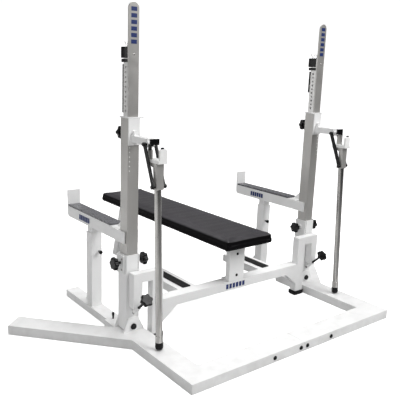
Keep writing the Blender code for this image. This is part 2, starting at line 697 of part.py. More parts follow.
def bar_arm(side):
    """Carriage that hangs from the column in front of the tube, with the box arm that reaches the links."""
    x = side * UPRIGHT_X
    top = TUBE_TOP + GAP + CAP_T
    cap = box(x - CAP_X / 2, x + CAP_X / 2, CAP_FRONT, CAP_REAR, TUBE_TOP + GAP, top)
    half = CARRIAGE_X / 2
    carriage = box(x - half, x + half, CARRIAGE_FRONT, -TUBE_Y / 2 - 2 * GAP, CARRIAGE_BOTTOM, top)
    tab = box(x - side * 0.020, x - side * CAP_TAB, CAP_FRONT, CAP_FRONT + 0.012, TUBE_TOP + GAP, top)
    half = ARM_X / 2
    arm = box(x - half, x + half, ARM_PIVOT[0] - 0.004, CARRIAGE_FRONT + 0.002, ARM_BOTTOM, ARM_TOP)
    lug = round_bar((x - half, *ARM_PIVOT), (x + half, *ARM_PIVOT), ARM_LUG_R, 24)
    near, far = CARRIAGE_FRONT - BLOCK_D, CARRIAGE_FRONT + BITE
    block = box(x - BLOCK_HALF, x + BLOCK_HALF, near, far, ARM_TOP - BITE, ARM_TOP + BLOCK_H)
    front = CARRIAGE_FRONT
    outline = [(front + BITE, CARRIAGE_BOTTOM), (front, CARRIAGE_BOTTOM), (front - GUSSET_D, ARM_BOTTOM),
               (front - GUSSET_D, ARM_BOTTOM + BITE), (front + BITE, ARM_BOTTOM + BITE)]
    gusset = slab(outline, "X", x - RIB_T / 2, x + RIB_T / 2)
    hole = round_bar((x - 0.04, *ARM_PIVOT), (x + 0.04, *ARM_PIVOT), LINK_BOLT_R + GAP, 20)
    solid = cut(join(cap, tab, carriage, arm, lug, block, gusset), hole, column_hole(x, TUBE_TOP - 0.02, top + 0.01))
    place(named("bar_arm", side), solid, "white_powder_coat")


def links(side):
    """The two black swing links, welded to the pin that turns in the arm."""
    x = side * UPRIGHT_X
    top = Vector((0, *ARM_PIVOT))
    low = Vector((0, *LINK_PIVOT))
    along = (low - top).normalized()
    across = Vector((0, along.z, -along.y))
    half = LINK_W / 2
    outline = []
    for centre, begin in ((low, -math.pi / 2), (top, math.pi / 2)):
        for i in range(9):
            turn = begin + math.pi * i / 8
            point = centre + (along * math.cos(turn) + across * math.sin(turn)) * half
            outline.append((point.y, point.z))
    bars = []
    for way in (-1, 1):
        middle = x + way * LINK_X
        bars.append(slab(outline, "X", middle - LINK_T / 2, middle + LINK_T / 2))
    pin = round_bar((x - LINK_X, *ARM_PIVOT), (x + LINK_X, *ARM_PIVOT), LINK_BOLT_R, 20)
    buttons = []
    for way in (-1, 1):
        near = x + way * (LINK_X + LINK_T / 2 - 0.001)
        buttons.append(turned((near, *ARM_PIVOT), (near + way * (BUTTON_H + 0.001), *ARM_PIVOT), BUTTON, 20))
    hole = round_bar((x - 0.05, *LINK_PIVOT), (x + 0.05, *LINK_PIVOT), LINK_BOLT_R + GAP, 20)
    solid = cut(join(*bars, pin, *buttons), hole)
    place(named("lift_links", side), solid, "black_steel", (x, *ARM_PIVOT), True)


def lever(side):
    """Lever head with its outer cheek, long lever tube, its foot and the bolt that hangs it from the links."""
    x = side * UPRIGHT_X
    half = HEAD_X / 2
    y, z = LINK_PIVOT
    outline = [(HEAD_FRONT, HEAD_TOP), (HEAD_FRONT, z + 0.020), (y - 0.0115, z + 0.006), (y - 0.0115, z - 0.008),
               (y - 0.008, z - 0.0135), (y + 0.022, z - 0.0135), (y + 0.022, z + 0.014), (y + 0.012, z + 0.032),
               (HEAD_FRONT + 0.024, HEAD_TOP - 0.018), (SADDLE_REAR, HEAD_TOP - 0.006), (SADDLE_REAR, HEAD_TOP)]
    head = slab(outline, "X", x - half, x + half)
    cheek_half = (SADDLE_REAR - CHEEK_FRONT) / 2
    middle = (SADDLE_REAR + CHEEK_FRONT) / 2
    outline = [(CHEEK_FRONT, HEAD_TOP - 0.004), (SADDLE_REAR, HEAD_TOP - 0.004)]
    for i in range(9):
        turn = math.pi * i / 8
        outline.append((middle + cheek_half * math.cos(turn), CHEEK_TOP - cheek_half * (1 - math.sin(turn))))
    near = x + side * CHEEK_IN
    cheek = slab(outline, "X", near, near + side * CHEEK_T)
    top = Vector((x, *LEVER_TOP))
    end = Vector((x, *LEVER_END))
    tube_hole = round_bar(top + (top - end) * 0.001, end, LEVER_R + GAP, 28)
    bolt = round_bar((x - 0.05, *LINK_PIVOT), (x + 0.05, *LINK_PIVOT), LINK_BOLT_R + GAP, 20)
    place(named("lever_head", side), cut(join(head, cheek), tube_hole, bolt), "grey_powder_coat", (x, *LINK_PIVOT))
    edge = LINK_X + LINK_T / 2 + GAP
    ends = [
        turned((x + way * edge, *LINK_PIVOT), (x + way * (edge + BUTTON_H), *LINK_PIVOT), BUTTON, 20)
        for way in (-1, 1)
    ]
    shank = round_bar((x - edge - 0.001, *LINK_PIVOT), (x + edge + 0.001, *LINK_PIVOT), LINK_BOLT_R, 20)
    place(named("link_bolt", side), join(shank, *ends), "black_steel", (x, *LINK_PIVOT), True)
    ferrule = LEVER_R + FERRULE_T
    tube = turned(top, end, [(0, LEVER_R), (0.955, LEVER_R), (0.956, ferrule), (1, ferrule)], 28)
    place(named("lever_tube", side), tube, "chrome", top, True)
    way = (end - top).normalized()
    foot_end = end + way * ((end.z - LEVER_FOOT_Z) / -way.z - 0.002)
    shoe = turned(end + way * GAP, foot_end, LEVER_FOOT, 28)
    place(named("lever_foot", side), shoe, "black_rubber", end, True)


def saddle(side):
    """Bar saddle: a flat white seat with a rounded front lip, and the black cap on the cheek behind it."""
    x = side * UPRIGHT_X
    low = HEAD_TOP + GAP
    seat = box(x + side * SADDLE_IN, x + side * SADDLE_OUT, SADDLE_FRONT, SADDLE_REAR, low, SADDLE_SEAT)
    half = (LIP_OUT - SADDLE_IN) / 2
    middle = x + side * (LIP_OUT + SADDLE_IN) / 2
    outline = [(middle - half, low), (middle + half, low)]
    for way in (1, -1):
        for i in range(7):
            turn = math.pi / 2 * (i if way > 0 else 6 - i) / 6
            inset = LIP_CORNER * (1 - math.cos(turn))
            outline.append((middle + way * (half - inset), LIP_TOP - LIP_CORNER * (1 - math.sin(turn))))
    lip = slab(outline, "Y", SADDLE_FRONT, SADDLE_FRONT + LIP_T)
    near = x + side * (CHEEK_IN - GAP)
    far = x + side * (CHEEK_IN + CHEEK_T + GAP)
    slot = box(near, far, CHEEK_FRONT - GAP, SADDLE_REAR + 0.01, low - 0.01, SADDLE_SEAT + 0.01)
    place(named("bar_saddle", side), cut(join(seat, lip), slot), "white_plastic", (x, SADDLE_REAR, SADDLE_SEAT))
    cap = join(
        box(x - 0.021, x + 0.021, -0.195, -0.186, CHEEK_TOP + 0.004, 0.934),
        box(x + side * 0.008, x + side * 0.0215, -0.195, -0.178, CHEEK_TOP + GAP, CHEEK_TOP + 0.007),
        box(far, x + side * 0.0215, -0.195, -0.178, CHEEK_TOP - 0.016, CHEEK_TOP + 0.002),
    )
    place(named("saddle_cap", side), cap, "black_plastic")


# ---------------------------------------------------------------- bench

def bench():
    """Bench frame on the cross tube and its own rear leg, with board and pad."""
    board_bottom = PAD_TOP - PAD_T - BOARD_T
    half = BENCH_POST_X / 2
    front = CROSS_FRONT
    post = box(-half, half, front, front + BENCH_POST_Y, CROSS_TOP + GAP, board_bottom - GAP)
    shoe = box(-half, half, front, front + CROSS_DEPTH, CROSS_TOP + GAP, CROSS_TOP + BENCH_SHOE_H)
    head_front, head_rear = BENCH_LEG_HEAD
    spine = box(-SPINE_HALF, SPINE_HALF, front + OVER, head_rear - OVER, board_bottom - SPINE_H, board_bottom - GAP)
    outline = [(BENCH_LEG_FOOT[0], 0.0), (BENCH_LEG_FOOT[1], 0.0), (head_rear, board_bottom - GAP),
               (head_front, board_bottom - GAP)]
    leg = slab(outline, "X", -half, half)
    near = front + 2 * OVER
    brace = [(near, BRACE_LOW[0]), (near, BRACE_TOP), (near + BRACE_L, BRACE_TOP)]
    rear_brace = [(head_front + 0.042, BRACE_LOW[1]), (head_front + 0.015, BRACE_TOP), (head_front - BRACE_L, BRACE_TOP)]
    ribs = [slab(points, "X", -RIB_T / 2, RIB_T / 2) for points in (brace, rear_brace)]
    wide, deep = BEARER_HALF
    bearers = [
        box(-wide, wide, y - deep, y + deep, board_bottom - BEARER_H, board_bottom - GAP) for y in BEARER_Y
    ]
    place("bench_frame", join(post, shoe, spine, leg, *ribs, *bearers), "white_powder_coat")
    inset = BOARD_INSET
    board = box(-PAD_W / 2 + inset, PAD_W / 2 - inset, PAD_FRONT + inset, PAD_REAR - inset, board_bottom,
                PAD_TOP - PAD_T - GAP)
    place("bench_board", board, "pad_board")
    bottom = PAD_TOP - PAD_T
    rings = [rounded_outline(PAD_W / 2, PAD_FRONT, PAD_REAR, PAD_CORNER_R, bottom)]
    for drop, inset in PAD_EDGE:
        radius = PAD_CORNER_R - inset / 2
        rings.append(rounded_outline(PAD_W / 2 - inset, PAD_FRONT + inset, PAD_REAR - inset, radius, PAD_TOP - drop))
    place("bench_pad", loft(rings), "pad_vinyl", (0, (PAD_FRONT + PAD_REAR) / 2, bottom), True)


def rounded_outline(half, front, rear, radius, z):
    """A rounded rectangle at height z."""
    points = []
    corners = ((half, front, -math.pi / 2), (half, rear, 0), (-half, rear, math.pi / 2), (-half, front, math.pi))
    for x, y, begin in corners:
        cx = x - math.copysign(radius, x)
        cy = y + radius if y == front else y - radius
        for i in range(5):
            turn = begin + math.pi / 2 * i / 4
            points.append((cx + radius * math.cos(turn), cy + radius * math.sin(turn), z))
    return points


def one_side(side):
    """Every piece that stands on one side of the rack."""
    x = side * UPRIGHT_X
    base_half(side)
    foot_tube_end(side)
    safety_arm(side)
    stem_face = SAFETY_Y - SAFETY_SLIDE / 2 - 2 * GAP
    tip = (side * (UPRIGHT_X - SAFETY_PIN_IN), stem_face, SAFETY_PIN_Z)
    pull_pin("safety_pin", side, tip, (0, -1, 0), *SAFETY_PIN_KNOB)
    tip = (side * RAIL_PIN[0], RAIL_PIN[1], FOOT_TUBE_TOP + 2 * GAP)
    pull_pin("rail_pin", side, tip, (0, 0, 1), *RAIL_PIN_KNOB)
    tilt_sleeve(side)
    start, end = tilt_screw_line(side)
    star_knob("tilt_knob", side, end, start)
    outer = side * (UPRIGHT_X + TUBE_X / 2 + GAP)
    inner = side * (UPRIGHT_X - TUBE_X / 2 - GAP)
    star_knob("clamp_knob_outer", side, (outer, 0, CLAMP_Z), (outer + side * OUTER_KNOB_REACH, 0, CLAMP_Z))
    star_knob("clamp_knob_inner", side, (inner, 0, CLAMP_Z), (inner - side * INNER_KNOB_REACH, 0, CLAMP_Z))
    upright(side)
    star_knob("height_knob", side, (x, COLUMN_REAR + GAP, HEIGHT_KNOB_Z), (x, HEIGHT_KNOB_Y, HEIGHT_KNOB_Z))
    column(side)
    guard(side)
    bar_arm(side)
    links(side)
    lever(side)
    saddle(side)


def main():
    for old in list(bpy.data.objects):
        bpy.data.objects.remove(old)
    splice()
    cross_frame()
    for side in (-1, 1):
        one_side(side)
    bench()


main()
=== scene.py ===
"""Studio picture of the competition bench rack: upholstery, finishes, small fittings, light and camera.

This script adds what a solid model leaves out: the padded cushion, rubber strips, printed bars and screws,
and the materials of every piece.
"""

import json
import math

import bmesh
import bpy
import numpy as np
from mathutils import Matrix, Vector


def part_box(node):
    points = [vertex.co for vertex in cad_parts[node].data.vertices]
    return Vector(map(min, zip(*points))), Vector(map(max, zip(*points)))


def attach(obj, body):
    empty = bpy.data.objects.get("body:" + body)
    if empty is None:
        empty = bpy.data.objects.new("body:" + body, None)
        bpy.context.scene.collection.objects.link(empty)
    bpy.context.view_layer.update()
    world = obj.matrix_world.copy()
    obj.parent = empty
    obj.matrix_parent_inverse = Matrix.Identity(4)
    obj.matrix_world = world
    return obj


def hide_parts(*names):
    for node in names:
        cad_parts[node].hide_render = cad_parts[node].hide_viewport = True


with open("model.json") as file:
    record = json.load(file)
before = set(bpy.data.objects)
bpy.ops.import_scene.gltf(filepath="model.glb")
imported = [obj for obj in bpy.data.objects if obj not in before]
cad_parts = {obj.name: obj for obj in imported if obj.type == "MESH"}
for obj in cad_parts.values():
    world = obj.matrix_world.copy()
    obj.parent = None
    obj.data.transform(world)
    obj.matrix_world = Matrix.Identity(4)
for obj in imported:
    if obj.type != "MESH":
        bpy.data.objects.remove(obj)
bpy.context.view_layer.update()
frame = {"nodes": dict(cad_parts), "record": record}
nodes = frame["nodes"]

SIDES = ((-1, "left"), (1, "right"))
SMOOTH_BELOW = math.radians(40)


# ---------------------------------------------------------------- materials

class Look:
    """A node material under construction, with short calls for the nodes it uses most."""

    def __init__(self, name):
        self.material = bpy.data.materials.new(name)
        self.material.use_nodes = True
        self.tree = self.material.node_tree
        self.shader = self.tree.nodes["Principled BSDF"]
        self.place = self.add("ShaderNodeTexCoord").outputs["Object"]

    def add(self, kind, **settings):
        node = self.tree.nodes.new(kind)
        for key, value in settings.items():
            setattr(node, key, value)
        return node

    def link(self, source, target):
        self.tree.links.new(source, target)

    def feed(self, target, value):
        if isinstance(value, bpy.types.NodeSocket):
            self.link(value, target)
        else:
            target.default_value = value

    def noise(self, scale, detail=4.0, stretch=(1, 1, 1), distortion=0.0):
        mapping = self.add("ShaderNodeMapping")
        mapping.inputs["Scale"].default_value = stretch
        self.link(self.place, mapping.inputs["Vector"])
        node = self.add("ShaderNodeTexNoise")
        node.inputs["Scale"].default_value = scale
        node.inputs["Detail"].default_value = detail
        node.inputs["Distortion"].default_value = distortion
        self.link(mapping.outputs["Vector"], node.inputs["Vector"])
        return node.outputs["Fac"]

    def cells(self, scale):
        node = self.add("ShaderNodeTexVoronoi", feature="F1")
        node.inputs["Scale"].default_value = scale
        self.link(self.place, node.inputs["Vector"])
        return node.outputs["Distance"]

    def ramp(self, source, low, high, to_low=0.0, to_high=1.0):
        node = self.add("ShaderNodeMapRange", clamp=True)
        self.link(source, node.inputs["Value"])
        node.inputs["From Min"].default_value = low
        node.inputs["From Max"].default_value = high
        node.inputs["To Min"].default_value = to_low
        node.inputs["To Max"].default_value = to_high
        return node.outputs["Result"]

    def math(self, operation, first, second):
        node = self.add("ShaderNodeMath", operation=operation)
        self.feed(node.inputs[0], first)
        self.feed(node.inputs[1], second)
        return node.outputs[0]

    def mix(self, factor, first, second):
        node = self.add("ShaderNodeMix", data_type="RGBA")
        self.feed(node.inputs["Factor"], factor)
        self.feed(node.inputs["A"], first)
        self.feed(node.inputs["B"], second)
        return node.outputs["Result"]

    def bump(self, heights):
        """Chains (height, distance in metres, strength) into one normal."""
        normal = None
        for height, distance, strength in heights:
            node = self.add("ShaderNodeBump")
            node.inputs["Distance"].default_value = distance
            node.inputs["Strength"].default_value = strength
            self.link(height, node.inputs["Height"])
            if normal:
                self.link(normal, node.inputs["Normal"])
            normal = node.outputs["Normal"]
        self.link(normal, self.shader.inputs["Normal"])

    def edges(self, radius):
        """Near 1 on convex edges and near 0 on flats."""
        bevel = self.add("ShaderNodeBevel", samples=4)
        bevel.inputs["Radius"].default_value = radius
        geometry = self.add("ShaderNodeNewGeometry")
        dot = self.add("ShaderNodeVectorMath", operation="DOT_PRODUCT")
        self.link(bevel.outputs["Normal"], dot.inputs[0])
        self.link(geometry.outputs["Normal"], dot.inputs[1])
        turned_away = self.math("SUBTRACT", 1.0, dot.outputs["Value"])
        return self.ramp(turned_away, 0.0, 0.35)

    def upward(self, output):
        """The Z part of a surface point's Position or Normal."""
        split = self.add("ShaderNodeSeparateXYZ")
        self.link(self.add("ShaderNodeNewGeometry").outputs[output], split.inputs[0])
        return split.outputs["Z"]

    def finish(self, base, roughness, metallic=0.0, **extra):
        inputs = self.shader.inputs
        self.feed(inputs["Base Color"], base)
        self.feed(inputs["Roughness"], roughness)
        self.feed(inputs["Metallic"], metallic)
        for key, value in extra.items():
            self.feed(inputs[key.replace("_", " ")], value)
        return self.material


def rgb(*values):
    return (*values, 1.0)


DUSTY_BELOW = 0.16
BARE_EDGE = rgb(0.60, 0.60, 0.59)
DUST = rgb(0.34, 0.33, 0.31)


def powder_coat(name, colour, shade, metallic, roughness, peel):
    """Satin paint over steel: orange-peel grain, faint mottling, dusty feet and slightly brighter edges."""
    look = Look(name)
    mottle = look.ramp(look.noise(7.0, 5.0, (1, 1, 0.45), 0.4), 0.35, 0.68)
    base = look.mix(mottle, shade, colour)
    rubs = look.math("MULTIPLY", look.edges(0.0025), look.ramp(look.noise(46.0, 6.0), 0.5, 0.62))
    base = look.mix(look.math("MULTIPLY", rubs, 0.45), base, BARE_EDGE)
    low_down = look.math("SUBTRACT", 1.0, look.ramp(look.upward("Position"), 0.0, DUSTY_BELOW))
    dust = look.math("MULTIPLY", low_down, look.ramp(look.noise(18.0, 6.0), 0.42, 0.8))
    base = look.mix(look.math("MULTIPLY", dust, 0.22), base, DUST)
    scuffs = look.ramp(look.noise(60.0, 3.0, (1, 1, 0.06), 1.4), 0.64, 0.72)
    cloudy = look.ramp(look.noise(24.0, 5.0), 0.3, 0.7, roughness - 0.05, roughness + 0.07)
    rough = look.math("ADD", cloudy, look.math("MULTIPLY", scuffs, 0.10))
    look.bump([(look.noise(620.0, 2.0), peel, 0.55), (look.noise(9.0, 2.0), 0.0006, 0.10)])
    return look.finish(base, rough, metallic, Coat_Weight=0.18, Coat_Roughness=0.22)


def bare_metal(name, colour, dark, roughness, stretch):
    """Plated or brushed metal with drawn lines, smudges and darker patches."""
    look = Look(name)
    lines = look.noise(230.0, 4.0, stretch)
    smudge = look.ramp(look.noise(14.0, 6.0, distortion=0.6), 0.4, 0.75)
    base = look.mix(look.ramp(lines, 0.35, 0.7), colour, dark)
    base = look.mix(look.math("MULTIPLY", smudge, 0.35), base, dark)
    drawn = look.ramp(lines, 0.3, 0.7, roughness - 0.06, roughness + 0.06)
    rough = look.math("ADD", drawn, look.math("MULTIPLY", smudge, 0.10))
    look.bump([(lines, 0.00004, 0.4)])
    return look.finish(base, rough, 1.0)


def dark_steel(name):
    """Black oxide that shows bare metal on its corners."""
    look = Look(name)
    grain = look.noise(320.0, 3.0)
    patches = look.ramp(look.noise(30.0, 5.0), 0.4, 0.7)
    base = look.mix(patches, rgb(0.004, 0.004, 0.0045), rgb(0.010, 0.010, 0.0105))
    worn = look.math("MULTIPLY", look.edges(0.0012), look.ramp(look.noise(90.0, 4.0), 0.44, 0.6))
    base = look.mix(look.math("MULTIPLY", worn, 0.6), base, rgb(0.30, 0.29, 0.28))
    look.bump([(grain, 0.00006, 0.4)])
    rough = look.ramp(grain, 0.3, 0.7, 0.26, 0.40)
    return look.finish(base, rough, look.math("MULTIPLY", worn, 0.8), Specular_IOR_Level=0.22)


def moulded(name, colour, pale, roughness, shine):
    """Moulded plastic with a spark-eroded grain and pale handling wear on its edges."""
    look = Look(name)
    grain = look.noise(900.0, 2.0)
    wear = look.math("MULTIPLY", look.edges(0.0016), look.ramp(look.noise(70.0, 5.0), 0.42, 0.62))
    base = look.mix(look.ramp(look.noise(26.0, 5.0), 0.35, 0.7), colour, pale)
    handled = rgb(*(min(1.0, c * 2.2 + 0.03) for c in colour[:3]))
    base = look.mix(look.math("MULTIPLY", wear, 0.30), base, handled)
    look.bump([(grain, 0.00010, 0.5)])
    rough = look.ramp(look.noise(40.0, 4.0), 0.3, 0.7, roughness - 0.06, roughness + 0.08)
    return look.finish(base, rough, Specular_IOR_Level=shine)


def rubber(name, ribs=0.0):
    """Matte rubber with a pebbled skin, a film of dust, and moulded ribs where asked."""
    look = Look(name)
    pebble = look.cells(520.0)
    dust = look.ramp(look.noise(34.0, 6.0, distortion=0.8), 0.45, 0.78)
    base = look.mix(look.math("MULTIPLY", dust, 0.4), rgb(0.005, 0.005, 0.0055), rgb(0.026, 0.025, 0.025))
    heights = [(pebble, 0.0002, 0.45), (look.noise(11.0, 3.0), 0.0012, 0.12)]
    if ribs:
        wave = look.add("ShaderNodeTexWave", wave_type="BANDS", bands_direction="Y")
        wave.inputs["Scale"].default_value = ribs
        look.link(look.place, wave.inputs["Vector"])
        heights.insert(0, (wave.outputs["Fac"], 0.0012, 0.5))
    look.bump(heights)
    return look.finish(base, look.ramp(dust, 0.0, 1.0, 0.62, 0.86), 0.0, Specular_IOR_Level=0.22)


def vinyl(name):
    """Upholstery vinyl: leather grain, pores, broad creases, a violet cast, and duller side bands whose
    colour is darkened as painted shade on every face turned away from up.
    """
    look = Look(name)
    grain = look.cells(330.0)
    pores = look.noise(1100.0, 2.0)
    creases = look.noise(16.0, 7.0, (1.0, 0.5, 1.0), 1.6)
    sheen = look.ramp(look.noise(3.2, 4.0, (1.6, 0.5, 1), 0.5), 0.36, 0.66)
    base = look.mix(sheen, rgb(0.013, 0.011, 0.015), rgb(0.022, 0.019, 0.025))
    rubbed = look.math("MULTIPLY", look.ramp(creases, 0.55, 0.7), 0.25)
    base = look.mix(rubbed, base, rgb(0.026, 0.023, 0.027))
    look.bump([(creases, 0.0016, 0.16), (grain, 0.00035, 0.55), (pores, 0.0001, 0.25)])
    # Painted shade: the colour drops to near black on the sides, by how far each face turns away from up; the
    # same mask lowers the shine there.
    top_vs_painted_side_shade = look.ramp(look.upward("Normal"), 0.35, 0.85)
    base = look.mix(top_vs_painted_side_shade, rgb(0.003, 0.0027, 0.0033), base)
    rough = look.math("ADD", look.ramp(grain, 0.0, 0.6, 0.38, 0.50), look.math("MULTIPLY", sheen, 0.05))
    shine = look.ramp(top_vs_painted_side_shade, 0.0, 1.0, 0.05, 0.62)
    return look.finish(base, rough, 0.0, Specular_IOR_Level=shine)


def stained_board(name):
    """Black-stained plywood with open grain."""
    look = Look(name)
    grain = look.noise(60.0, 6.0, (6.0, 0.35, 6.0), 0.6)
    base = look.mix(look.ramp(grain, 0.4, 0.65), rgb(0.016, 0.015, 0.015), rgb(0.052, 0.048, 0.045))
    look.bump([(grain, 0.0004, 0.4)])
    return look.finish(base, look.ramp(grain, 0.3, 0.7, 0.6, 0.78))


def flat_print(name, colour):
    """Printed film with a faint grain."""
    look = Look(name)
    worn = rgb(*(c * 0.82 for c in colour[:3]))
    base = look.mix(look.ramp(look.noise(90.0, 4.0), 0.35, 0.7), colour, worn)
    look.bump([(look.noise(700.0, 2.0), 0.00005, 0.3)])
    return look.finish(base, look.ramp(look.noise(40.0, 3.0), 0.3, 0.7, 0.32, 0.44))


WHITE = powder_coat("white_paint", rgb(0.88, 0.88, 0.878), rgb(0.84, 0.84, 0.838), 0.0, 0.34, 0.00012)
GREY = powder_coat("silver_paint", rgb(0.50, 0.49, 0.475), rgb(0.43, 0.42, 0.405), 0.55, 0.36, 0.00008)
PALE_SILVER = rgb(0.74, 0.735, 0.725)
COLUMN = powder_coat("pale_silver_paint", PALE_SILVER, rgb(0.66, 0.655, 0.645), 0.35, 0.34, 0.00008)
BLACK = rgb(0.003, 0.003, 0.0035)
ZINC = rgb(0.58, 0.57, 0.55)
STEEL = rgb(0.62, 0.61, 0.59)
LOOKS = {
    "white_powder_coat": WHITE,
    "grey_powder_coat": GREY,
    "brushed_steel": bare_metal("zinc_plate", ZINC, rgb(0.38, 0.37, 0.36), 0.36, (0.05, 1, 1)),
    "chrome": bare_metal("satin_plate", STEEL, rgb(0.42, 0.41, 0.40), 0.15, (1, 1, 0.03)),
    "black_steel": dark_steel("black_oxide"),
    "black_plastic": moulded("black_moulding", BLACK, rgb(0.007, 0.007, 0.0075), 0.24, 0.22),
    "black_rubber": rubber("plain_rubber"),
    "white_plastic": moulded("white_moulding", rgb(0.90, 0.90, 0.89), rgb(0.86, 0.86, 0.85), 0.38, 0.5),
    "pad_vinyl": vinyl("bench_vinyl"),
    "pad_board": stained_board("black_board"),
}
TREAD = rubber("ribbed_rubber", 38.0)
STRIP = moulded("smooth_strip", rgb(0.070, 0.070, 0.080), rgb(0.095, 0.095, 0.106), 0.26, 0.8)
BLUE = flat_print("blue_film", rgb(0.012, 0.030, 0.150))
MARK = flat_print("pale_mark", rgb(0.88, 0.88, 0.87))


# ---------------------------------------------------------------- the model's own pieces

BEVELS = {
    "white_powder_coat": 0.0016,
    "grey_powder_coat": 0.0014,
    "brushed_steel": 0.0006,
    "chrome": 0.0004,
    "black_steel": 0.0008,
    "black_plastic": 0.0012,
    "black_rubber": 0.0014,
    "white_plastic": 0.0016,
    "pad_board": 0.0012,
}


def dress(node, look, width):
    """Gives a model piece its look and softens its edges, leaving its own points alone."""
    mesh = node.data
    for i in range(max(1, len(mesh.materials))):
        if len(mesh.materials) <= i:
            mesh.materials.append(look)
        mesh.materials[i] = look
    if "custom_normal" in mesh.attributes:
        mesh.attributes.remove(mesh.attributes["custom_normal"])
    mesh.polygons.foreach_set("use_smooth", [True] * len(mesh.polygons))
    weld = node.modifiers.new("weld", "WELD")
    weld.merge_threshold = 0.00002
    if width:
        bevel = node.modifiers.new("soften", "BEVEL")
        bevel.width = width
        bevel.segments = 2
        bevel.limit_method = "ANGLE"
        bevel.angle_limit = math.radians(38)
        bevel.use_clamp_overlap = True
    weighted = node.modifiers.new("shade", "WEIGHTED_NORMAL")
    weighted.keep_sharp = False
    weighted.weight = 60


slot_of = {part["node"]: part["material_slot"] for part in frame["record"]["subparts"]}
for node_name, node in nodes.items():
    slot_name = slot_of[node_name]
    chosen = LOOKS[slot_name]
    if node_name.startswith("step_tread"):
        chosen = TREAD
    elif node_name.startswith("safety_rubber"):
        chosen = STRIP
    elif node_name.startswith("inner_column"):
        chosen = COLUMN
    dress(node, chosen, BEVELS.get(slot_name, 0.0))


# ---------------------------------------------------------------- small fittings

def add(name, bm, look, body, smooth=True):
    """Makes a finished piece from a bmesh and lets it ride on a body of the model."""
    bmesh.ops.recalc_face_normals(bm, faces=bm.faces)
    mesh = bpy.data.meshes.new(name)
    bm.to_mesh(mesh)
    bm.free()
    mesh.materials.append(look)
    if smooth:
        mesh.shade_smooth()
        mesh.set_sharp_from_angle(angle=SMOOTH_BELOW)
    piece = bpy.data.objects.new(name, mesh)
    bpy.context.scene.collection.objects.link(piece)
    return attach(piece, body)


def block(low, high, bevel=0.001, segments=2):
    """A soft-edged box between two corners."""
    bm = bmesh.new()
    bmesh.ops.create_cube(bm, size=1.0)
    low, high = Vector(map(min, low, high)), Vector(map(max, low, high))
    size = high - low
    for vertex in bm.verts:
        vertex.co = low + Vector([(c + 0.5) * s for c, s in zip(vertex.co, size)])
    if bevel:
        bmesh.ops.bevel(bm, geom=bm.edges[:], offset=bevel, segments=segments, affect="EDGES", profile=0.6)
    return bm


def circle(radius, count):
    """Points evenly round a circle."""
    turns = [2 * math.pi * i / count for i in range(count)]
    return [(radius * math.cos(turn), radius * math.sin(turn)) for turn in turns]


def lathe(start, way, profile, sides):
    """A turned form that grows from a point along a way, from (distance along, radius) pairs."""
    start = Vector(start)
    spin = Vector(way).to_track_quat("Z", "Y")
    bm = bmesh.new()
    rings = []
    for along, radius in profile:
        ring = []
        for x, y in circle(radius, sides):
            ring.append(bm.verts.new(start + spin @ Vector((x, y, along))))
        rings.append(ring)
    for a, b in zip(rings, rings[1:]):
        for i in range(sides):
            bm.faces.new((a[i], a[(i + 1) % sides], b[(i + 1) % sides], b[i]))
    bm.faces.new(rings[0][::-1])
    bm.faces.new(rings[-1])
    return bm


DOME = ((0.0, 1.0), (0.35, 1.0), (0.7, 0.86), (0.95, 0.62), (1.0, 0.46), (0.45, 0.40))
DOME_SIDES = 24


def dome_head(at, way, radius, height):
    """A domed screw head that stands on a surface point, with its socket as a small sunk cone."""
    return lathe(at, way, [(height * rise, radius * wide) for rise, wide in DOME], DOME_SIDES)


ROD_SIDES = 10


def rod(points, radius, closed=False):
    """A round rod along a line of points, or round a closed loop of them."""
    points = [Vector(p) for p in points]
    last = len(points) - 1
    bm = bmesh.new()
    rings = []
    for i, point in enumerate(points):
        before = points[i - 1] if closed or i else points[0]
        after = points[(i + 1) % len(points)] if closed or i < last else points[-1]
        spin = (after - before).to_track_quat("Z", "Y")
        rings.append([bm.verts.new(point + spin @ Vector((x, y, 0))) for x, y in circle(radius, ROD_SIDES)])
    for a, b in zip(rings, rings[1:]):
        join_rings(bm, a, b, 0)
    if closed:
        first, final = rings[0], rings[-1]
        shift = min(range(ROD_SIDES), key=lambda n: (final[0].co - first[n].co).length)
        join_rings(bm, final, first, shift)
    else:
        bm.faces.new(rings[0][::-1])
        bm.faces.new(rings[-1])
    return bm


def join_rings(bm, a, b, shift):
    """A band of faces between two rings, where the second starts some points further on."""
    count = len(a)
    for k in range(count):
        bm.faces.new((a[k], a[(k + 1) % count], b[(k + 1 + shift) % count], b[(k + shift) % count]))


def middle(node_name):
    low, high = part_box(node_name)
    return (low + high) / 2


STRIP_TOP = 1.222
STRIP_BOTTOM = {"left": 1.022, "right": 1.112}
BAND_Z = (1.229, 1.243)
PLUG_Z = (1.246, 1.2915)
RING_R = 0.011
RING_POINTS = 28
HOOK = ((0.012, -0.002), (0.015, 0.008), (0.021, 0.017), (0.027, 0.023))
GUARD_BARS_Z = 1.303
GUARD_BAR_PITCH = 0.0255
GUARD_BAR_H = 0.0165
GUARD_BAR_HALF = 0.0135
GUARD_SCREW_Z = 1.262
BARS = 6


